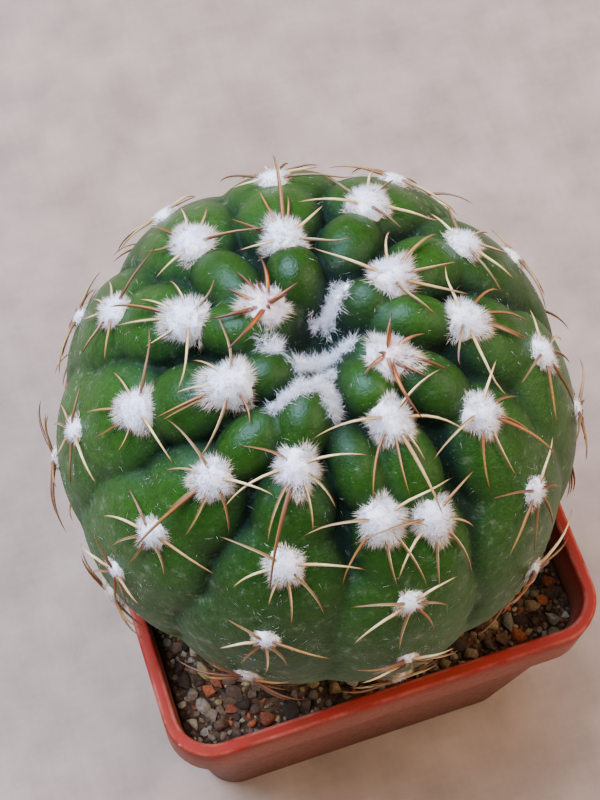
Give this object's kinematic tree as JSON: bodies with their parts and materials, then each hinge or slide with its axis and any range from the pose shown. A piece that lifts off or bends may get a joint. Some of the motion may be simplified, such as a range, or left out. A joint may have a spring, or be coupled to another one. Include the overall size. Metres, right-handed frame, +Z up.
{
  "type": "potted round cactus",
  "caption": "Round ribbed cactus with white felt tufts and curved spines, standing in grit in a small square plastic nursery pot with a collar.",
  "frame": {"origin": "middle of the pot's underside, where the pot stands on its surface", "axes": "+Z up, +X and +Y square to the pot's sides; the picture looks from above the front, which is -Y"},
  "size_m": [0.0776, 0.0762, 0.1253],
  "materials": {
    "pot_plastic": "semi-gloss moulded polypropylene, red-brown, slightly dusty",
    "substrate": "loose dark soil with coloured grit",
    "cactus_skin": "waxy living skin, satin green",
    "felt": "dense white wool",
    "spine": "smooth horny straw colour, red-brown towards root and tip"
  },
  "bodies": {
    "root": {"pot": "pot_plastic", "soil": "substrate", "cactus": "cactus_skin"}
  },
  "joints": []
}
